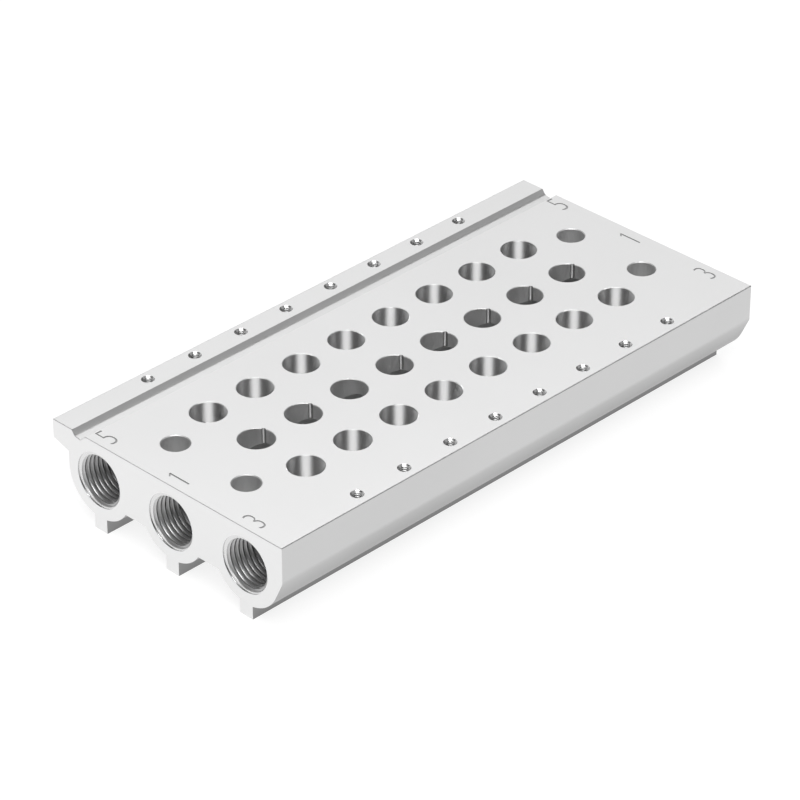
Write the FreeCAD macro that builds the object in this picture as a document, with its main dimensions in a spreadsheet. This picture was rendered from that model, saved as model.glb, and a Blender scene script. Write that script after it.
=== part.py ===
import FreeCAD, Part
import math
import os

import Sketcher

# Valve manifold base, millimetres: an extruded aluminium bar with three lengthwise
# channels, cut to length, then drilled and tapped for a row of valve stations.
# X runs along the bar, Y across it towards the lip, Z up from the soles of its feet.
# The origin lies on the soles, under the middle of the bar.

DIMENSIONS = {
    # the bar
    "bar_length": 111.3,
    "bar_height": 16.7,
    "web_thickness": 10.8,  # valve seat to the underside between the channels
    "side_margin": 0.9,  # the plain side stands this far outside the round wall
    "side_height": 6.7,  # upright part of the plain side, before it slants in
    "lip_overhang": 3.6,  # the lip stands out this far from the round wall
    "lip_edge": 3.5,  # thickness of the lip at its face
    "lip_root": 4.6,  # thickness of the lip where it meets the round wall
    # channels, and the round walls and feet under them
    "channel_pitch": 17.0,
    "channel_drop": 7.0,  # valve seat to the channel axes
    "channel_diameter": 8.8,  # tapping drill, right through
    "wall_radius": 7.2,  # round outside of a channel
    "side_wall_radius": 7.4,  # the same at the plain side
    "foot_width": 2.9,
    # groove between the valve seat and the lip
    "lip_width": 4.7,  # face of the lip to the groove
    "groove_width": 3.3,
    "groove_wall_lean": 0.65,
    "groove_wall_depth": 0.9,
    "groove_floor_width": 1.3,
    "groove_depth": 1.15,
    # threaded ports at both ends of each channel
    "port_diameter": 9.728,  # major diameter of a G 1/8 pipe thread
    "port_depth": 8.5,
    "port_mouth": 10.1,
    # valve stations
    "station_pitch": 10.5,
    "first_station": 18.9,  # from the end of the bar
    "valve_hole_diameter": 6.2,
    "valve_hole_depth": 7.4,
    "valve_hole_offset": 5.7,  # outer valve holes to the channels that they open into
    "screw_diameter": 2.0,  # major diameter of an M2 thread
    "screw_depth": 6.0,
    "lip_screw_inset": 2.1,  # from the face of the lip
    "side_screw_inset": 2.5,  # from the plain side
    # through-holes that bolt the bar down
    "mounting_diameter": 4.8,
    "mounting_inset": 8.9,  # from the end of the bar
    "mounting_offset": 0.3,  # from the middle of a web, towards the middle channel
    # finish of the edges
    "corner_radius": 0.25,  # long outer corners of the bar
    "end_break": 0.25,  # round the sawn ends
}
STATION_COUNT = 8
MOUTH_ANGLE = 90.0
NEAR = 1e-4


def cell(name):
    return f"Dimensions.{name}"


# Formulas for what several features share: the reach of the bar from its middle
# channel to each side, and where that channel lies when the bar itself is centred
SIDE_REACH = f"({cell('channel_pitch')} + {cell('side_wall_radius')} + {cell('side_margin')})"
LIP_REACH = f"({cell('channel_pitch')} + {cell('wall_radius')} + {cell('lip_overhang')})"
MIDDLE = f"({SIDE_REACH} - {LIP_REACH}) / 2"

# How a sketch refers to the points of an element, to its own origin and to its axis
START_INDEX, END_INDEX, CENTRE_INDEX = 1, 2, 3
ORIGIN_INDEX = (-1, 1)
AXIS_INDEX = -1


def value(name):
    return float(getattr(sheet, name))


def fill_sheet(sheet):
    for row, (name, size) in enumerate(DIMENSIONS.items(), start=1):
        sheet.set(f"A{row}", name)
        sheet.set(f"B{row}", str(size))
        sheet.setAlias(f"B{row}", name)


def own_plane(body, role):
    return next(plane for plane in body.Origin.OriginFeatures if plane.Role == role)


def new_sketch(body, name, role, offset=None):
    """A sketch on one of the body's own planes, moved off it by a formula."""
    sketch = body.newObject("Sketcher::SketchObject", name)
    sketch.AttachmentSupport = (own_plane(body, role), "")
    sketch.MapMode = "FlatFace"
    if offset:
        sketch.setExpression("AttachmentOffset.Base.z", offset)
    return sketch


def dimension(sketch, kind, places, formula):
    """Dimension the sketch as it is drawn, and tie that dimension to the sheet."""
    if kind == "Radius":
        size = sketch.Geometry[places[0]].Radius
    else:
        axis = {"DistanceX": 0, "DistanceY": 1}[kind]
        first, second = (sketch.getPoint(*place) for place in places)
        size = second[axis] - first[axis]
        places = (*places[0], *places[1])
    index = sketch.addConstraint(Sketcher.Constraint(kind, *places, size))
    sketch.setExpression(f"Constraints[{index}]", formula)


def across(sketch, first, second, formula):
    dimension(sketch, "DistanceX", (first, second), formula)


def up(sketch, first, second, formula):
    dimension(sketch, "DistanceY", (first, second), formula)


def relate(sketch, kind, *handles):
    sketch.addConstraint(Sketcher.Constraint(kind, *handles))


def outline():
    """The cross-section, round from the top of the plain side by way of the feet.

    Each entry is a line or arc: its name, its first corner, and the middle and
    radius of its circle if it is an arc. Then comes the height of the channel axes."""
    top = value("bar_height")
    axis = top - value("channel_drop")
    web = top - value("web_thickness")
    pitch = value("channel_pitch")
    radius = value("wall_radius")
    side_radius = value("side_wall_radius")
    half_width = pitch + (side_radius + value("side_margin") + radius + value("lip_overhang")) / 2
    half_foot = value("foot_width") / 2
    half_web = pitch / 2 - math.sqrt(radius**2 - (axis - web) ** 2)
    middle = half_width - pitch - radius - value("lip_overhang")
    channels = [middle - pitch, middle, middle + pitch]

    def foot_top(wall_radius):
        return axis - math.sqrt(wall_radius**2 - half_foot**2)

    # The slanting side runs on into the round wall
    bend = (-half_width, top - value("side_height"))
    rise, run = bend[1] - axis, bend[0] - channels[0]
    touch = math.atan2(rise, run) + math.acos(side_radius / math.hypot(rise, run))
    corner = (
        channels[0] + side_radius * math.cos(touch),
        axis + side_radius * math.sin(touch),
    )
    parts = [("side", (-half_width, top), None), ("slant", bend, None)]
    for number, channel in enumerate(channels):
        outer = radius if number else side_radius
        left, right = channel - half_foot, channel + half_foot
        parts += [
            (f"wall_{number}_left", corner, (channel, outer)),
            (f"foot_{number}_left", (left, foot_top(outer)), None),
            (f"sole_{number}", (left, 0), None),
            (f"foot_{number}_right", (right, 0), None),
            (f"wall_{number}_right", (right, foot_top(radius)), (channel, radius)),
        ]
        if channel != channels[-1]:
            parts.append((f"web_{number}", (channel + pitch / 2 - half_web, web), None))
            corner = (channel + pitch / 2 + half_web, web)
    groove_end = half_width - value("lip_width")
    wall_foot = groove_end - value("groove_wall_lean")
    floor_end = wall_foot - value("groove_floor_width")
    parts += [
        ("lip_wall", (channels[-1] + radius, axis), None),
        ("lip_under", (channels[-1] + radius, top - value("lip_root")), None),
        ("lip_face", (half_width, top - value("lip_edge")), None),
        ("lip_top", (half_width, top), None),
        ("groove_wall", (groove_end, top), None),
        ("groove_floor", (wall_foot, top - value("groove_wall_depth")), None),
        ("groove_ramp", (floor_end, top - value("groove_depth")), None),
        ("seat", (groove_end - value("groove_width"), top), None),
    ]
    return parts, axis


def draw_outline(sketch):
    """Draws the cross-section and returns the sketch's number for each named part."""
    parts, axis = outline()
    following = parts[1:] + parts[:1]
    for (_, corner, circle), (_, target, _) in zip(parts, following):
        if circle:
            channel, radius = circle
            centre = FreeCAD.Vector(channel, axis, 0)
            begin, finish = (
                math.atan2(y - axis, x - channel) % (2 * math.pi)
                for x, y in (corner, target)
            )
            if finish < begin:
                finish += 2 * math.pi
            whole = Part.Circle(centre, FreeCAD.Vector(0, 0, 1), radius)
            sketch.addGeometry(Part.ArcOfCircle(whole, begin, finish), False)
        else:
            ends = [FreeCAD.Vector(*point, 0) for point in (corner, target)]
            sketch.addGeometry(Part.LineSegment(*ends), False)
    return {name: number for number, (name, _, _) in enumerate(parts)}


def profile_sketch(body):
    """Cross-section of the extrusion, fully constrained."""
    sketch = new_sketch(body, "Profile", "YZ_Plane")
    part = draw_outline(sketch)

    def start(name):
        return part[name], START_INDEX

    def end(name):
        return part[name], END_INDEX

    centres = [(part[f"wall_{number}_left"], CENTRE_INDEX) for number in range(3)]
    middle = centres[1]

    # Each part meets the next, smoothly where a straight runs on into a round wall
    names = list(part)
    for name, following in zip(names, names[1:] + names[:1]):
        kind = "Tangent" if name in ("slant", "wall_2_right") else "Coincident"
        relate(sketch, kind, *end(name), *start(following))
    for name in ("side", "lip_wall", "lip_face"):
        relate(sketch, "Vertical", part[name])
    for name in ("lip_top", "seat", "web_0", "web_1"):
        relate(sketch, "Horizontal", part[name])
    relate(sketch, "Horizontal", *end("web_0"), *start("web_1"))
    relate(sketch, "Horizontal", *end("lip_top"), *start("seat"))
    for number, centre in enumerate(centres):
        left, right = part[f"wall_{number}_left"], part[f"wall_{number}_right"]
        relate(sketch, "Vertical", part[f"foot_{number}_left"])
        relate(sketch, "Horizontal", part[f"sole_{number}"])
        relate(sketch, "Vertical", part[f"foot_{number}_right"])
        relate(sketch, "PointOnObject", *start(f"sole_{number}"), AXIS_INDEX)
        relate(sketch, "Coincident", left, CENTRE_INDEX, right, CENTRE_INDEX)
        if number:
            relate(sketch, "Equal", part["wall_0_right"], left)
            relate(sketch, "Equal", part["wall_0_right"], right)
            relate(sketch, "Horizontal", *centres[0], *centre)
            across(sketch, centres[number - 1], centre, cell("channel_pitch"))
        across(sketch, start(f"sole_{number}"), end(f"sole_{number}"), cell("foot_width"))
        across(sketch, start(f"sole_{number}"), centre, cell("foot_width") + " / 2")

    across(sketch, ORIGIN_INDEX, middle, MIDDLE)
    across(sketch, start("side"), middle, SIDE_REACH)
    across(sketch, middle, start("lip_face"), LIP_REACH)
    dimension(sketch, "Radius", (part["wall_0_left"],), cell("side_wall_radius"))
    dimension(sketch, "Radius", (part["wall_0_right"],), cell("wall_radius"))
    up(sketch, ORIGIN_INDEX, start("seat"), cell("bar_height"))
    up(sketch, middle, start("seat"), cell("channel_drop"))
    up(sketch, start("web_0"), start("seat"), cell("web_thickness"))
    up(sketch, end("side"), start("side"), cell("side_height"))
    up(sketch, start("lip_face"), end("lip_face"), cell("lip_edge"))
    up(sketch, start("lip_under"), end("lip_face"), cell("lip_root"))
    across(sketch, end("lip_top"), start("lip_top"), cell("lip_width"))
    across(sketch, start("seat"), end("lip_top"), cell("groove_width"))
    across(sketch, end("groove_wall"), start("groove_wall"), cell("groove_wall_lean"))
    up(sketch, end("groove_wall"), start("groove_wall"), cell("groove_wall_depth"))
    across(sketch, end("groove_floor"), start("groove_floor"), cell("groove_floor_width"))
    up(sketch, start("groove_ramp"), end("groove_ramp"), cell("groove_depth"))
    return sketch


def edges_where(feature, wanted):
    """Names of the feature's edges for which wanted(edge, the feature's box) holds."""
    box = feature.Shape.BoundBox
    edges = enumerate(feature.Shape.Edges, start=1)
    return [f"Edge{number}" for number, edge in edges if wanted(edge, box)]


def is_end_edge(edge, bar):
    """An edge of a sawn end."""
    return edge.BoundBox.XLength < NEAR * bar.XLength


def is_long_corner(edge, bar):
    """A lengthwise edge of the lip's face, or the top edge of the plain side."""
    box = edge.BoundBox
    is_long = box.XLength > bar.XLength / 2
    on_lip_face = box.YMin > bar.YMax - NEAR
    on_side = box.YMax < bar.YMin + NEAR
    on_top = box.ZMin > bar.ZMax - NEAR
    return is_long and (on_lip_face or (on_side and on_top))


def break_edges(body, kind, name, base, size, wanted):
    """A fillet or chamfer on chosen edges; size is its property and a cell's name."""
    feature = body.newObject(kind, name)
    feature.Base = (base, edges_where(base, wanted))
    feature.setExpression(size[0], cell(size[1]))
    doc.recompute()
    return feature


def extrude_bar(body):
    """The extrusion, sawn to length, with its corners softened."""
    bar = body.newObject("PartDesign::Pad", "Bar")
    bar.Profile = profile_sketch(body)
    bar.SideType = "Symmetric"
    bar.setExpression("Length", cell("bar_length"))
    doc.recompute()
    chamfer = ("PartDesign::Chamfer", "EndBreaks")
    fillet = ("PartDesign::Fillet", "LongCorners")
    ends = break_edges(body, *chamfer, bar, ("Size", "end_break"), is_end_edge)
    break_edges(body, *fillet, ends, ("Radius", "corner_radius"), is_long_corner)


def circle_sketch(body, name, plane, offset, centres, diameter):
    """Circles of one diameter, each centre given as a pair of formulas."""
    sketch = new_sketch(body, name, plane, offset)
    for index, (first, second) in enumerate(centres):
        place = FreeCAD.Vector(index + 1, index + 1, 0)
        sketch.addGeometry(Part.Circle(place, FreeCAD.Vector(0, 0, 1), 1), False)
        across(sketch, ORIGIN_INDEX, (index, CENTRE_INDEX), first)
        up(sketch, ORIGIN_INDEX, (index, CENTRE_INDEX), second)
        dimension(sketch, "Radius", (index,), f"{diameter} / 2")
    doc.recompute()
    return sketch


def drill(body, name, sketch, diameter, depth=None, mouth=None):
    """A flat-bottomed or through hole at each circle of the sketch."""
    hole = body.newObject("PartDesign::Hole", name)
    hole.Profile = sketch
    doc.recompute()
    hole.setExpression("Diameter", diameter)
    hole.DrillPoint = "Flat"
    hole.DepthType = "Dimension" if depth else "ThroughAll"
    if depth:
        hole.setExpression("Depth", depth)
    if mouth:
        hole.HoleCutType = "Countersink"
        hole.HoleCutCountersinkAngle = MOUTH_ANGLE
        hole.setExpression("HoleCutDiameter", mouth)
    doc.recompute()
    return hole


def bore_channels(body):
    """Three channels right through the bar, with a threaded port at each end."""
    level = f"{cell('bar_height')} - {cell('channel_drop')}"
    pitch = cell("channel_pitch")
    rows = [f"{MIDDLE} - {pitch}", MIDDLE, f"{MIDDLE} + {pitch}"]
    axes = [(row, level) for row in rows]

    size = cell("channel_diameter")
    channels = body.newObject("PartDesign::Pocket", "Channels")
    channels.Profile = circle_sketch(body, "ChannelCircles", "YZ_Plane", None, axes, size)
    channels.Type = "ThroughAll"
    channels.SideType = "Symmetric"
    doc.recompute()

    end = f"{cell('bar_length')} / 2"
    size = cell("port_diameter")
    circles = circle_sketch(body, "PortCircles", "YZ_Plane", end, axes, size)
    ports = drill(body, "Ports", circles, size, cell("port_depth"), cell("port_mouth"))
    other_end = body.newObject("PartDesign::Mirrored", "OtherEnd")
    other_end.Originals = [ports]
    other_end.MirrorPlane = (own_plane(body, "YZ_Plane"), [""])
    body.Tip = other_end
    doc.recompute()


def drill_stations(body):
    """Valve holes into the channels and screw holes beside them, at every station."""
    top = cell("bar_height")
    first = f"{cell('first_station')} - {cell('bar_length')} / 2"
    size = cell("valve_hole_diameter")

    def at_rows(*rows):
        return [(first, f"{MIDDLE} {row}") for row in rows]

    row = f"({cell('channel_pitch')} - {cell('valve_hole_offset')})"
    side_row = f"({SIDE_REACH} - {cell('side_screw_inset')})"
    lip_row = f"({LIP_REACH} - {cell('lip_screw_inset')})"
    outer = at_rows(f"- {row}", f"+ {row}")
    screws = at_rows(f"- {side_row}", f"+ {lip_row}")
    circles = circle_sketch(body, "OuterCircles", "XY_Plane", top, outer, size)
    outer_holes = drill(body, "OuterValveHoles", circles, size, cell("valve_hole_depth"))
    circles = circle_sketch(body, "MiddleCircle", "XY_Plane", top, at_rows(""), size)
    middle_hole = drill(body, "MiddleValveHole", circles, size, cell("channel_drop"))
    size = cell("screw_diameter")
    circles = circle_sketch(body, "ScrewCircles", "XY_Plane", top, screws, size)
    screw_holes = drill(body, "ScrewHoles", circles, size, cell("screw_depth"))
    stations = body.newObject("PartDesign::LinearPattern", "Stations")
    stations.Originals = [outer_holes, middle_hole, screw_holes]
    stations.Direction = (own_plane(body, "X_Axis"), [""])
    stations.Mode = "Spacing"
    stations.setExpression("Offset", cell("station_pitch"))
    stations.Occurrences = STATION_COUNT
    body.Tip = stations
    doc.recompute()


def drill_mounting_holes(body):
    """Four clearance holes down through the webs."""
    inset = f"({cell('bar_length')} / 2 - {cell('mounting_inset')})"
    row = f"({cell('channel_pitch')} / 2 - {cell('mounting_offset')})"
    places = []
    for end in ("-", ""):
        for side in ("-", "+"):
            places.append((end + inset, f"{MIDDLE} {side} {row}"))
    size = cell("mounting_diameter")
    top = cell("bar_height")
    circles = circle_sketch(body, "MountingCircles", "XY_Plane", top, places, size)
    drill(body, "MountingHoles", circles, size)


def check(body):
    """Stop unless every feature worked, every cut cut, and the bar is one solid."""
    for item in doc.Objects:
        if "Invalid" in item.State or "Error" in item.State:
            raise RuntimeError(f"{item.Label} failed: {item.State}")
    cuts = [step for step in body.Group if step.isDerivedFrom("PartDesign::Feature")]
    for before, after in zip(cuts, cuts[1:]):
        if after.Shape.Volume > before.Shape.Volume - NEAR:
            raise RuntimeError(f"{after.Label} removed nothing")
    shape = body.Shape
    if shape.isNull() or not shape.isValid() or len(shape.Solids) != 1:
        raise RuntimeError(f"{body.Label} is not one valid solid")


doc = FreeCAD.newDocument("ValveManifoldBase")
sheet = doc.addObject("Spreadsheet::Sheet", "Dimensions")
fill_sheet(sheet)
doc.recompute()

body = doc.addObject("PartDesign::Body", "ManifoldBase")
body.Label = "manifold_base"
extrude_bar(body)
bore_channels(body)
drill_stations(body)
drill_mounting_holes(body)
doc.recompute()
check(body)

os.makedirs("parts", exist_ok=True)
body.Shape.exportStep(f"parts/{body.Label}.step")
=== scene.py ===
import math

import bmesh
import bpy
from mathutils import Matrix, Vector


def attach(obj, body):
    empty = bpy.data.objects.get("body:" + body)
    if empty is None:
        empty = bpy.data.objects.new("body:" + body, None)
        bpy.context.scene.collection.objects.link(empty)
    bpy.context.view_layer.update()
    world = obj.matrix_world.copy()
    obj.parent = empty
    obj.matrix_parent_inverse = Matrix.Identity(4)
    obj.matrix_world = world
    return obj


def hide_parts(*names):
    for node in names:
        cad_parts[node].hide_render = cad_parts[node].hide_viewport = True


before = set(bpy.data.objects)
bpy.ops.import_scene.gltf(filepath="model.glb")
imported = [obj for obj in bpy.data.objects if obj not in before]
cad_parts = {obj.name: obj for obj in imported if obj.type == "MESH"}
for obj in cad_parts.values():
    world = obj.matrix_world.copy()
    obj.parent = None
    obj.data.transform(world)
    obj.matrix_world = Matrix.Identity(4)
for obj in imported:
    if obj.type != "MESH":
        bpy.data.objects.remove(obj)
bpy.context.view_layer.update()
mm = 0.001
fullTurn = 2 * math.pi
tolerance = 1e-6  # in metres, like the weld gap
weldGap = 1e-7
overshoot = 0.3  # how far the turned tools stand out of the bar, in millimetres
print("frame loaded")


# Camera: a long lens that looks down on the near end of the bar

camera = {
    "location": (-395.69, -386.32, 355.22),
    "target": (-2.934, -0.196, 8.35),
    "lens": 176.02,
    "sensor": 36,
    "clipStart": 10,
}


def aim(item, target):
    direction = Vector(target) * mm - item.location
    item.rotation_euler = direction.to_track_quat("-Z", "Y").to_euler()


def addCamera():
    data = bpy.data.cameras.new("productCamera")
    data.lens = camera["lens"]
    data.sensor_width = camera["sensor"]
    data.clip_start = camera["clipStart"] * mm
    item = bpy.data.objects.new("productCamera", data)
    bpy.context.collection.objects.link(item)
    item.location = Vector(camera["location"]) * mm
    aim(item, camera["target"])
    bpy.context.scene.camera = item


addCamera()


# Finishes: one alloy, as it was extruded, milled, drilled, bored, tapped or marked, with painted shade
# in some of their shades.
# The grain stretches the tool marks along X, Y and Z: a low number is the way that they run.
# The painted shade by height lists heights with the part of the shade that is left there: the skin
# is painted darker towards the bottom, as shade under the bar.

finishes = {
    "extrudedSkin": {
        # Its shade, lower than the milled faces' of the same alloy, is painted shade on the sides and
        # the underside.
        "shade": 0.62, "tint": 0.01, "roughness": 0.4, "variation": 0.03,
        "grain": (300, 9000, 9000), "depth": 0.003, "clouds": 60,
        # painted shade: the share of the shade left at each height, darker towards the bottom
        "paintedShadeByHeight": ((0, 0.4), (9.5, 0.8), (10.5, 1)),
    },
    "milledFace": {
        "shade": 0.81, "tint": 0.01, "roughness": 0.32, "variation": 0.03,
        "grain": (500, 7000, 7000), "depth": 0.003, "clouds": 45,
    },
    "milledGroove": {
        # A darker copy of milledFace: the lower shade is painted shade in the groove.
        "shade": 0.7, "tint": 0.01, "roughness": 0.46, "variation": 0.03,
        "grain": (500, 7000, 7000), "depth": 0.003, "clouds": 45,
    },
    "milledEnd": {
        "shade": 0.81, "tint": 0.01, "roughness": 0.32, "variation": 0.03,
        "grain": (9000, 500, 7000), "depth": 0.003, "clouds": 90,
    },
    "drilledWall": {
        "shade": 0.9, "tint": 0.02, "roughness": 0.58, "variation": 0.03,
        "grain": (40, 40, 9000), "depth": 0.002, "clouds": 400, "anisotropy": 1,
    },
    "dwellMark": {
        # A darker copy of drilledWall: the lower shade is painted shade on the cutter marks.
        "shade": 0.6, "tint": 0.02, "roughness": 0.58, "variation": 0.03,
        "grain": (40, 40, 9000), "depth": 0.002, "clouds": 400, "anisotropy": 1,
    },
    "boredWall": {
        # Its lower shade is painted shade inside the channels and the middle and mounting holes.
        "shade": 0.72, "tint": 0.03, "roughness": 0.6, "variation": 0.05,
        "grain": (2500, 2500, 2500), "depth": 0.05, "clouds": 400,
    },
    "countersink": {
        "shade": 0.72, "tint": 0.02, "roughness": 0.25, "variation": 0.04,
        "grain": (3000, 3000, 3000), "depth": 0.002, "clouds": 400,
    },
    "tappedThread": {
        # Its lower shade is painted shade inside the threaded ports and screw holes.
        "shade": 0.61, "tint": 0.03, "roughness": 0.42, "variation": 0.05,
        "grain": (3000, 3000, 3000), "depth": 0.002, "clouds": 400,
    },
    "engraving": {
        # Its dark shade is painted shade in the engraved strokes.
        "shade": 0.45, "tint": 0.05, "roughness": 0.6, "variation": 0.05,
        "grain": (4000, 4000, 4000), "depth": 0.005, "clouds": 800,
    },
}


def addNode(tree, kind, values=None, **sources):
    node = tree.nodes.new(kind)
    for name, value in (values or {}).items():
        node.inputs[name].default_value = value
    for name, source in sources.items():
        tree.links.new(source, node.inputs[name])
    return node


def grey(value):
    return (value, value, value, 1)


def buildToolGrain():
    group = bpy.data.node_groups.new("toolGrain", "ShaderNodeTree")
    group.interface.new_socket("Stretch", in_out="INPUT", socket_type="NodeSocketVector")
    group.interface.new_socket("Clouds", in_out="INPUT", socket_type="NodeSocketFloat")
    group.interface.new_socket("Height", in_out="OUTPUT", socket_type="NodeSocketFloat")
    group.interface.new_socket("Cloud", in_out="OUTPUT", socket_type="NodeSocketFloat")
    given = group.nodes.new("NodeGroupInput")
    place = group.nodes.new("ShaderNodeTexCoord").outputs["Object"]
    stretched = group.nodes.new("ShaderNodeVectorMath")
    stretched.operation = "MULTIPLY"
    group.links.new(place, stretched.inputs[0])
    group.links.new(given.outputs["Stretch"], stretched.inputs[1])
    marks = addNode(group, "ShaderNodeTexNoise", {"Scale": 1, "Detail": 3}, Vector=stretched.outputs[0])
    cloud = addNode(group, "ShaderNodeTexNoise", Vector=place, Scale=given.outputs["Clouds"])
    addNode(group, "NodeGroupOutput", Height=marks.outputs["Fac"], Cloud=cloud.outputs["Fac"])
    return group


toolGrain = buildToolGrain()


def mixColours(tree, factor, first, second, blend="MIX"):
    node = tree.nodes.new("ShaderNodeMix")
    node.data_type = "RGBA"
    node.blend_type = blend
    chosen = [socket for socket in node.inputs if socket.type == "RGBA"]
    for socket, value in zip([node.inputs["Factor"], *chosen], (factor, first, second)):
        if isinstance(value, bpy.types.NodeSocket):
            tree.links.new(value, socket)
        else:
            socket.default_value = value
    return next(socket for socket in node.outputs if socket.type == "RGBA")


# Paints shade by height: the colour is multiplied by a grey ramp on Object Z that darkens towards the
# bottom
def paintShadeByHeight(tree, colour, levels):
    heights, shares = zip(*levels)
    place = tree.nodes.new("ShaderNodeTexCoord").outputs["Object"]
    level = addNode(tree, "ShaderNodeSeparateXYZ", Vector=place).outputs["Z"]
    limits = {"From Min": 0, "From Max": heights[-1] * mm}
    rise = addNode(tree, "ShaderNodeMapRange", limits, Value=level).outputs["Result"]
    ramp = tree.nodes.new("ShaderNodeValToRGB")
    tree.links.new(rise, ramp.inputs["Fac"])
    stops = ramp.color_ramp.elements
    for height in heights[1:-1]:
        stops.new(height / heights[-1])
    for stop, share in zip(stops, shares):
        stop.color = grey(share)
    return mixColours(tree, 1, colour, ramp.outputs["Color"], "MULTIPLY")


def newMaterial(name, shade, metallic, roughness):
    material = bpy.data.materials.new(name)
    material.use_nodes = True
    tree = material.node_tree
    shader = tree.nodes["Principled BSDF"]
    shader.inputs["Base Color"].default_value = grey(shade)
    shader.inputs["Metallic"].default_value = metallic
    shader.inputs["Roughness"].default_value = roughness
    return material, tree, shader


def newFinish(name, look):
    material, tree, shader = newMaterial(name, look["shade"], 1, look["roughness"])
    if "anisotropy" in look:  # fine rings round an upright wall spread its highlight up and down
        shader.inputs["Anisotropic"].default_value = look["anisotropy"]
        shader.inputs["Anisotropic Rotation"].default_value = 0.25  # of a turn
    grain = tree.nodes.new("ShaderNodeGroup")
    grain.node_tree = toolGrain
    grain.inputs["Stretch"].default_value = look["grain"]
    grain.inputs["Clouds"].default_value = look["clouds"]
    cloud = grain.outputs["Cloud"]
    limits = {
        "From Min": 0.3,  # the noise seldom leaves this range
        "From Max": 0.7,
        "To Min": look["roughness"] - look["variation"],
        "To Max": look["roughness"] + look["variation"],
    }
    rough = addNode(tree, "ShaderNodeMapRange", limits, Value=cloud)
    tree.links.new(rough.outputs["Result"], shader.inputs["Roughness"])
    darkest, lightest = look["shade"] - look["tint"], look["shade"] + look["tint"]
    colour = mixColours(tree, cloud, grey(darkest), grey(lightest))
    # painted shade, darker towards the bottom of the skin
    if "paintedShadeByHeight" in look:
        colour = paintShadeByHeight(tree, colour, look["paintedShadeByHeight"])
    tree.links.new(colour, shader.inputs["Base Color"])
    relief = {"Distance": look["depth"] * mm}
    bump = addNode(tree, "ShaderNodeBump", relief, Height=grain.outputs["Height"])
    tree.links.new(bump.outputs["Normal"], shader.inputs["Normal"])
    return material


materials = [newFinish(name, look) for name, look in finishes.items()]
slots = {name: index for index, name in enumerate(finishes)}
print("finishes made:", len(materials))


# The bar: its cross-section is extruded, then its ends are broken and its long edges rounded

bar = {
    "length": 111.3,
    "height": 16.7,
    "pitch": 17.0,
    "sideReach": 25.3,
    "lipReach": 27.8,
    "axisDrop": 7.0,
    "webDrop": 10.8,
    "wall": 7.2,
    "sideWall": 7.4,
    "foot": 2.9,
    "sideHeight": 6.7,
    "lipEdge": 3.5,
    "lipRoot": 4.6,
    "lipWidth": 4.7,
    "grooveWidth": 3.3,
    "grooveLean": 0.65,
    "grooveWall": 0.9,
    "grooveFloor": 1.3,
    "grooveDepth": 1.15,
    "endBreak": 0.06,
    "corner": 0.22,
    "bend": 0.35,
    "grooveFoot": 0.3,
    "roundSteps": 4,
    "arcStep": math.radians(4),
    "sharpAngle": math.radians(32),
}
halfLength = bar["length"] / 2
middleRow = (bar["sideReach"] - bar["lipReach"]) / 2
channelRows = [middleRow - bar["pitch"], middleRow, middleRow + bar["pitch"]]
sideFace = middleRow - bar["sideReach"]
lipFace = middleRow + bar["lipReach"]
grooveEnd = lipFace - bar["lipWidth"]
wallFoot = grooveEnd - bar["grooveLean"]
axisHeight = bar["height"] - bar["axisDrop"]


def newPiece(name, bm):
    mesh = bpy.data.meshes.new(name)
    bm.to_mesh(mesh)
    bm.free()
    for material in materials:
        mesh.materials.append(material)
    piece = bpy.data.objects.new(name, mesh)
    bpy.context.collection.objects.link(piece)
    return piece


def onPlane(y, z):
    return Vector((-halfLength, y, z)) * mm


def lineThrough(bm, last, *points):
    for y, z in points:
        vert = bm.verts.new(onPlane(y, z))
        if last:
            bm.edges.new((last, vert))
        last = vert
    return last


def wallTo(bm, last, row, y, z):
    begin = math.atan2(last.co.z / mm - axisHeight, last.co.y / mm - row)
    angle = (math.atan2(z - axisHeight, y - row) - begin) % fullTurn
    swept = bmesh.ops.spin(
        bm, geom=[last], cent=onPlane(row, axisHeight), axis=(1, 0, 0), angle=angle,
        steps=math.ceil(angle / bar["arcStep"]),
    )
    return next(item for item in swept["geom_last"] if isinstance(item, bmesh.types.BMVert))


def drawProfile(bm):
    top = bar["height"]
    web = top - bar["webDrop"]
    halfFoot = bar["foot"] / 2
    reach = math.sqrt(bar["wall"] ** 2 - (axisHeight - web) ** 2)
    sideRow, lipRow = channelRows[0], channelRows[-1]
    bend = (sideFace, top - bar["sideHeight"])
    rise, run = bend[1] - axisHeight, bend[0] - sideRow
    touch = math.atan2(rise, run) + math.acos(bar["sideWall"] / math.hypot(rise, run))
    smoothJoin = (
        sideRow + bar["sideWall"] * math.cos(touch),
        axisHeight + bar["sideWall"] * math.sin(touch),
    )
    first = lineThrough(bm, None, (sideFace, top))
    last = lineThrough(bm, first, bend, smoothJoin)
    for row in channelRows:
        outside = bar["sideWall"] if row == sideRow else bar["wall"]
        footLeft = axisHeight - math.sqrt(outside**2 - halfFoot**2)
        footRight = axisHeight - math.sqrt(bar["wall"] ** 2 - halfFoot**2)
        last = wallTo(bm, last, row, row - halfFoot, footLeft)
        footSide = row + halfFoot
        last = lineThrough(bm, last, (row - halfFoot, 0), (footSide, 0), (footSide, footRight))
        if row != lipRow:
            last = wallTo(bm, last, row, row + reach, web)
            last = lineThrough(bm, last, (row + bar["pitch"] - reach, web))
    last = wallTo(bm, last, lipRow, lipRow + bar["wall"], axisHeight)
    last = lineThrough(
        bm, last,
        (lipRow + bar["wall"], top - bar["lipRoot"]),
        (lipFace, top - bar["lipEdge"]),
        (lipFace, top),
        (grooveEnd, top),
        (wallFoot, top - bar["grooveWall"]),
        (wallFoot - bar["grooveFloor"], top - bar["grooveDepth"]),
        (grooveEnd - bar["grooveWidth"], top),
    )
    bm.edges.new((last, first))


def isAt(value, target):
    return abs(value - target * mm) < tolerance


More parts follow.
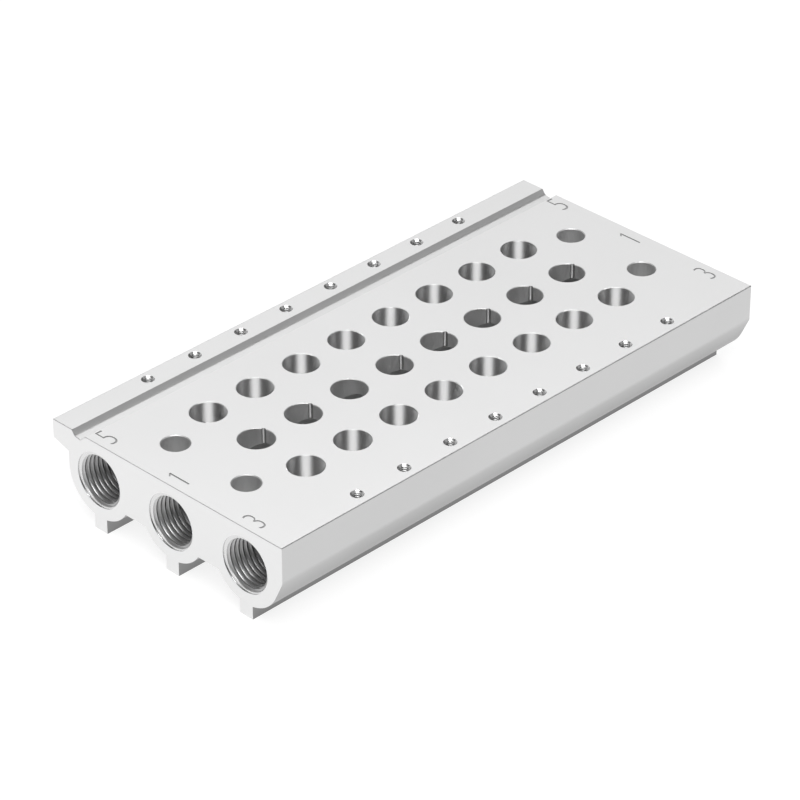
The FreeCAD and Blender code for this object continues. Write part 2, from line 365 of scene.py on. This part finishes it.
def finishOf(face):
    height = face.calc_center_median().z
    facesLip, facesEnd = face.normal.y > 0.5, abs(face.normal.x) > 0.5
    if facesEnd:
        return slots["milledEnd"]
    if isAt(height, bar["height"]):
        return slots["milledFace"]
    if height > (bar["height"] - bar["grooveDepth"]) * mm and not facesLip:
        return slots["milledGroove"]
    return slots["extrudedSkin"]


def isEndEdge(edge):
    first, second = (vert.co for vert in edge.verts)
    return abs(first.x - second.x) < tolerance


def isLongEdgeAt(edge, y, z):
    first, second = (vert.co for vert in edge.verts)
    return abs(first.x - second.x) > halfLength * mm and isAt(first.y, y) and isAt(first.z, z)


def breakEdges(bm, edges, offset, segments):
    bmesh.ops.bevel(
        bm, geom=edges, offset=offset * mm, affect="EDGES", segments=segments, profile=0.5, material=-1,
    )


def buildBar():
    bm = bmesh.new()
    drawProfile(bm)
    section = bmesh.ops.contextual_create(bm, geom=bm.edges[:])["faces"]
    raised = bmesh.ops.extrude_face_region(bm, geom=section)["geom"]
    verts = [item for item in raised if isinstance(item, bmesh.types.BMVert)]
    bmesh.ops.translate(bm, verts=verts, vec=(bar["length"] * mm, 0, 0))
    bmesh.ops.recalc_face_normals(bm, faces=bm.faces[:])
    for face in bm.faces:
        face.material_index = finishOf(face)
    breakEdges(bm, [edge for edge in bm.edges if isEndEdge(edge)], bar["endBreak"], 1)
    top = bar["height"]
    for y, z, offset in (
        (sideFace, top, bar["corner"]),
        (lipFace, top, bar["corner"]),
        (lipFace, top - bar["lipEdge"], bar["corner"]),
        (sideFace, top - bar["sideHeight"], bar["bend"]),
        (wallFoot, top - bar["grooveWall"], bar["grooveFoot"]),
    ):
        chosen = [edge for edge in bm.edges if isLongEdgeAt(edge, y, z)]
        breakEdges(bm, chosen, offset, bar["roundSteps"])
    return newPiece("manifoldBar", bm)


manifoldBar = buildBar()
print("bar extruded:", len(manifoldBar.data.polygons), "faces")


# Tools: each hole is a closed body, made once on Z with its mouth at 0 and placed wherever it cuts

def closedTool(name, bm, finish):
    bmesh.ops.remove_doubles(bm, verts=bm.verts[:], dist=weldGap)
    bmesh.ops.recalc_face_normals(bm, faces=bm.faces[:])
    for face in bm.faces:
        face.material_index = slots[finish]
    mesh = bpy.data.meshes.new(name)
    bm.to_mesh(mesh)
    bm.free()
    return mesh


def halfSection(bm, profile):
    verts = [bm.verts.new((radius * mm, 0, height * mm)) for radius, height in profile]
    return verts + [bm.edges.new(pair) for pair in zip(verts, verts[1:])]


def turnedTool(name, profile, steps, finish):
    bm = bmesh.new()
    bmesh.ops.spin(
        bm, geom=halfSection(bm, profile), cent=(0, 0, 0), axis=(0, 0, 1), angle=fullTurn, steps=steps,
        use_merge=True,
    )
    return closedTool(name, bm, finish)


tapping = {
    "rounding": 0.2,  # the share of the V's depth that its rounded root takes
    "spareTurns": 3,
    "runIn": 1.2,  # pitches below the thread, cut off again
    "runOut": 0.7,  # pitches above its mouth
}


def threadedTool(name, thread, finish):
    pitch, crest = thread["pitch"], thread["crestWidth"]
    inner, outer = thread["crestRadius"], thread["rootRadius"]
    straight = 1 - tapping["rounding"]
    shoulder = inner + straight * (outer - inner)
    flank = straight * (outer - inner) * math.tan(thread["halfAngle"])
    turns = math.ceil(thread["depth"] / pitch) + tapping["spareTurns"]
    start = -thread["depth"] - tapping["runIn"] * pitch
    groove = [
        (inner, start),
        (inner, start + crest),
        (shoulder, start + crest + flank),
        (outer, start + (pitch + crest) / 2),
        (shoulder, start + pitch - flank),
        (inner, start + pitch),
    ]
    bm = bmesh.new()
    bmesh.ops.spin(
        bm, geom=halfSection(bm, groove), cent=(0, 0, 0), axis=(0, 0, 1),
        dvec=(0, 0, pitch * mm / thread["steps"]),
        angle=fullTurn * turns, steps=thread["steps"] * turns,
    )
    bmesh.ops.remove_doubles(bm, verts=bm.verts[:], dist=weldGap)
    ends = ((-thread["depth"], -1), (tapping["runOut"] * pitch, 1))
    for height, way in ends:  # each is cut square and closed
        trimmed = bmesh.ops.bisect_plane(
            bm, geom=bm.verts[:] + bm.edges[:] + bm.faces[:], plane_co=(0, 0, height * mm),
            plane_no=(0, 0, way), clear_outer=True,
        )["geom_cut"]
        rim = [item for item in trimmed if isinstance(item, bmesh.types.BMEdge)]
        bmesh.ops.contextual_create(bm, geom=rim)
    return closedTool(name, bm, finish)


def placeTool(bm, tool, places):
    for place in places:
        known = len(bm.verts)
        bm.from_mesh(tool)
        bm.verts.ensure_lookup_table()
        bmesh.ops.transform(bm, matrix=place, verts=bm.verts[known:])


def intoEnd(end, y):
    turn = Matrix.Rotation(end * math.pi / 2, 4, "Y")
    return Matrix.Translation(Vector((end * halfLength, y, axisHeight)) * mm) @ turn


def intoTop(x, y):
    return Matrix.Translation(Vector((x, y, bar["height"])) * mm)


def cut(piece, name, toolsAndPlaces):
    bm = bmesh.new()
    for tool, places in toolsAndPlaces:
        placeTool(bm, tool, places)
    cutter = newPiece(name, bm)
    modifier = piece.modifiers.new(name, "BOOLEAN")
    modifier.operation = "DIFFERENCE"
    modifier.solver = "MANIFOLD"
    modifier.object = cutter
    graph = bpy.context.evaluated_depsgraph_get()
    mesh = bpy.data.meshes.new_from_object(piece.evaluated_get(graph), depsgraph=graph)
    piece.modifiers.clear()
    piece.data = mesh
    bpy.data.objects.remove(cutter)
    print(name, "cut:", len(mesh.polygons), "faces")


# Channels and the threaded ports at their ends

channel = {"radius": 4.4, "steps": 96}
portThread = {
    "pitch": 0.907,
    "crestRadius": 4.405,
    "rootRadius": 4.864,
    "crestWidth": 0.26,
    "halfAngle": math.radians(27.5),
    "depth": 8.5,
    "steps": 72,
}
portMouth = {"radius": 5.05, "step": 0.22, "slope": 0.3, "steps": 96}


def cutChannels(piece):
    radius, reach = channel["radius"], bar["length"] + overshoot
    profile = [(0, overshoot), (radius, overshoot), (radius, -reach), (0, -reach)]
    bore = turnedTool("channelBore", profile, channel["steps"], "boredWall")
    cut(piece, "channels", [(bore, [intoEnd(1, row) for row in channelRows])])
    ends = [intoEnd(end, row) for row in channelRows for end in (-1, 1)]
    tap = threadedTool("portTap", portThread, "tappedThread")
    cut(piece, "portThreads", [(tap, ends)])
    radius, step, crest = portMouth["radius"], portMouth["step"], portThread["crestRadius"]
    depth = step + (radius - crest) * portMouth["slope"]
    profile = [(0, overshoot), (radius, overshoot), (radius, -step), (crest, -depth), (0, -depth)]
    cone = turnedTool("portCountersink", profile, portMouth["steps"], "countersink")
    cut(piece, "portMouths", [(cone, ends)])


cutChannels(manifoldBar)


# Valve stations: three ports over the channels and two screw holes, with mounting holes beyond

station = {
    "count": 8,
    "pitch": 10.5,
    "holeRadius": 3.1,
    "outerDepth": 7.4,
    "middleDepth": 7.0,
    "rowPitch": 11.3,
    "rim": 0.1,
    "sideScrew": 22.8,
    "lipScrew": 25.7,
    "steps": 72,
}
screwThread = {
    "pitch": 0.4,
    "crestRadius": 0.8,
    "rootRadius": 1.0,
    "crestWidth": 0.1,
    "halfAngle": math.radians(30),
    "depth": 6.0,
    "steps": 24,
}
screwMouth = {"radius": 1.15, "depth": 0.4, "steps": 32}
mounting = {"radius": 2.4, "inset": 8.9, "row": 8.2, "rim": 0.15}
dwellMark = {  # left in the middle ports' walls by the cutter, apart from the plain ones
    "radius": 0.45,
    "inset": 0.2,
    "depth": 3.4,
    "azimuth": math.radians(24),
    "steps": 16,
    "plain": (2,),
}


def holeProfile(radius, depth, rim):
    mouth = radius + rim + overshoot
    return [(0, overshoot), (mouth, overshoot), (radius, -rim), (radius, -depth), (0, -depth)]


def cutStations(piece):
    radius, rim, steps = station["holeRadius"], station["rim"], station["steps"]
    profile = holeProfile(radius, station["outerDepth"], rim)
    outer = turnedTool("outerDrill", profile, steps, "drilledWall")
    profile = holeProfile(radius, station["middleDepth"], rim)
    inner = turnedTool("middleDrill", profile, steps, "boredWall")
    profile = holeProfile(mounting["radius"], bar["height"] + overshoot, mounting["rim"])
    mount = turnedTool("mountingDrill", profile, steps, "boredWall")
    tap = threadedTool("screwTap", screwThread, "tappedThread")
    middle = (station["count"] - 1) / 2
    places = [(number - middle) * station["pitch"] for number in range(station["count"])]
    rows = [middleRow - station["rowPitch"], middleRow + station["rowPitch"]]
    inset = halfLength - mounting["inset"]
    mountRows = [middleRow - mounting["row"], middleRow + mounting["row"]]
    screwRows = [middleRow - station["sideScrew"], middleRow + station["lipScrew"]]
    screws = [intoTop(x, y) for x in places for y in screwRows]
    cut(piece, "stationHoles", [
        (outer, [intoTop(x, y) for x in places for y in rows]),
        (inner, [intoTop(x, middleRow) for x in places]),
        (mount, [intoTop(x, y) for x in (-inset, inset) for y in mountRows]),
        (tap, screws),
    ])
    mouth, depth = screwMouth["radius"], screwMouth["depth"]
    profile = [(0, overshoot), (mouth + overshoot, overshoot), (mouth - depth, -depth), (0, -depth)]
    cone = turnedTool("screwCountersink", profile, screwMouth["steps"], "countersink")
    profile = holeProfile(dwellMark["radius"], dwellMark["depth"], 0)
    dwell = turnedTool("dwellMark", profile, dwellMark["steps"], "dwellMark")
    turn = dwellMark["azimuth"]
    away = (radius - dwellMark["inset"]) * Vector((math.cos(turn), math.sin(turn)))
    marked = [x for number, x in enumerate(places) if number not in dwellMark["plain"]]
    cut(piece, "screwMouths", [
        (cone, screws),
        (dwell, [intoTop(x + away.x, middleRow + away.y) for x in marked]),
    ])


cutStations(manifoldBar)


# Plain numbers beside the ports, engraved and read from the near side

portNumber = {
    "numbers": ("3", "1", "5"),
    "height": 4.5,
    "narrowing": 0.7,
    "thinning": -0.02,
    "depth": 0.1,
    "fromEnd": 2.35,
    "rowShift": (0.1, 0.25, 0.3),
    "one": (  # the outline of a 1 with a flag and no foot
        (0.15, -2.25), (0.15, 2.25), (-0.1, 2.25), (-0.7, 1.65),
        (-0.55, 1.45), (-0.15, 1.85), (-0.15, -2.25),
    ),
}


def outlinedNumber(outline):
    depth = portNumber["depth"] * mm
    bm = bmesh.new()
    face = bm.faces.new([bm.verts.new((x * mm, y * mm, -depth)) for x, y in outline])
    raised = bmesh.ops.extrude_face_region(bm, geom=[face])["geom"]
    verts = [item for item in raised if isinstance(item, bmesh.types.BMVert)]
    bmesh.ops.translate(bm, verts=verts, vec=(0, 0, 2 * depth))
    return bm


def typedNumber(number):
    curve = bpy.data.curves.new("number", "FONT")
    curve.body = number
    curve.offset = portNumber["thinning"]
    curve.extrude = 0.5  # makes it one unit thick
    text = bpy.data.objects.new("number", curve)
    bpy.context.collection.objects.link(text)
    graph = bpy.context.evaluated_depsgraph_get()
    mesh = bpy.data.meshes.new_from_object(text.evaluated_get(graph), depsgraph=graph)
    bpy.data.objects.remove(text)
    bm = bmesh.new()
    bm.from_mesh(mesh)
    places = [vert.co for vert in bm.verts]
    low, high = (Vector(map(pick, zip(*places))) for pick in (min, max))
    tall = portNumber["height"] / (high.y - low.y) * mm
    bmesh.ops.translate(bm, verts=bm.verts[:], vec=-(low + high) / 2)
    size = (tall * portNumber["narrowing"], tall, 2 * portNumber["depth"] * mm)
    bmesh.ops.scale(bm, verts=bm.verts[:], vec=size)
    return bm


def numberTool(number):
    bm = outlinedNumber(portNumber["one"]) if number == "1" else typedNumber(number)
    return closedTool("number", bm, "engraving")


def cutNumbers(piece):
    inset = halfLength - portNumber["fromEnd"]
    numbers = []
    for number, row, shift in zip(portNumber["numbers"], channelRows, portNumber["rowShift"]):
        numbers.append((numberTool(number), [intoTop(x, row + shift) for x in (-inset, inset)]))
    cut(piece, "portNumbers", numbers)


cutNumbers(manifoldBar)

manifoldBar.data.shade_smooth()
manifoldBar.data.set_sharp_from_angle(angle=bar["sharpAngle"])
manifoldBar.modifiers.new("faceWeight", "WEIGHTED_NORMAL").keep_sharp = True
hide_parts("manifold_base")
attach(manifoldBar, "root")


# Studio: a pale floor, an even world and softboxes around the bar, in metres and watts

studio = {
    "floorReach": 3,
    "floorShade": 0.22,
    "floorRoughness": 0.9,
    "floorGlow": 0.84,
    "worldStrength": 0.1,
    "softboxDistance": 3,
}
softboxes = {
    "frontSoftbox": {"azimuth": -136, "elevation": 58, "size": (2, 1.8), "power": 68},
    "leftSoftbox": {"azimuth": 100, "elevation": 30, "size": (2, 2), "power": 9.1},
    "rightSoftbox": {"azimuth": -45, "elevation": 28, "size": (2.2, 2.2), "power": 5.5},
    "backSoftbox": {"azimuth": 44, "elevation": 38, "size": (2.2, 2.2), "power": 12.4},
    "highSoftbox": {"azimuth": 44, "elevation": 62, "size": (2, 2), "power": 14},
    "overheadSoftbox": {"azimuth": 0, "elevation": 90, "size": (2, 2), "power": 5},
}


def addFloor():
    bm = bmesh.new()
    bmesh.ops.create_grid(bm, x_segments=1, y_segments=1, size=studio["floorReach"])
    material, tree, shader = newMaterial("paleFloor", studio["floorShade"], 0, studio["floorRoughness"])
    rays = tree.nodes.new("ShaderNodeLightPath")
    seen = rays.outputs["Is Camera Ray"]
    for way in ("Is Glossy Ray", "Is Transmission Ray"):
        either = tree.nodes.new("ShaderNodeMath")
        either.operation = "MAXIMUM"
        tree.links.new(seen, either.inputs[0])
        tree.links.new(rays.outputs[way], either.inputs[1])
        seen = either.outputs[0]
    glow = addNode(tree, "ShaderNodeMath", {1: studio["floorGlow"]})
    glow.operation = "MULTIPLY"
    tree.links.new(seen, glow.inputs[0])
    tree.links.new(glow.outputs[0], shader.inputs["Emission Strength"])
    shader.inputs["Emission Color"].default_value = grey(1)
    mesh = bpy.data.meshes.new("floor")
    bm.to_mesh(mesh)
    bm.free()
    mesh.materials.append(material)
    floor = bpy.data.objects.new("floor", mesh)
    bpy.context.collection.objects.link(floor)


def addWorld():
    world = bpy.data.worlds.new("studio")
    world.use_nodes = True
    sky = world.node_tree.nodes["Background"]
    sky.inputs["Color"].default_value = grey(1)
    sky.inputs["Strength"].default_value = studio["worldStrength"]
    bpy.context.scene.world = world


def addSoftbox(name, softbox):
    data = bpy.data.lights.new(name, "AREA")
    data.shape = "RECTANGLE"
    data.size, data.size_y = softbox["size"]
    data.energy = softbox["power"]
    lamp = bpy.data.objects.new(name, data)
    bpy.context.collection.objects.link(lamp)
    turn, rise = math.radians(softbox["azimuth"]), math.radians(softbox["elevation"])
    way = Vector((math.cos(rise) * math.cos(turn), math.cos(rise) * math.sin(turn), math.sin(rise)))
    lamp.location = way * studio["softboxDistance"]
    aim(lamp, (0, 0, axisHeight))


addFloor()
addWorld()
for name, softbox in softboxes.items():
    addSoftbox(name, softbox)
bpy.context.scene.view_settings.view_transform = "Standard"
print("studio set")
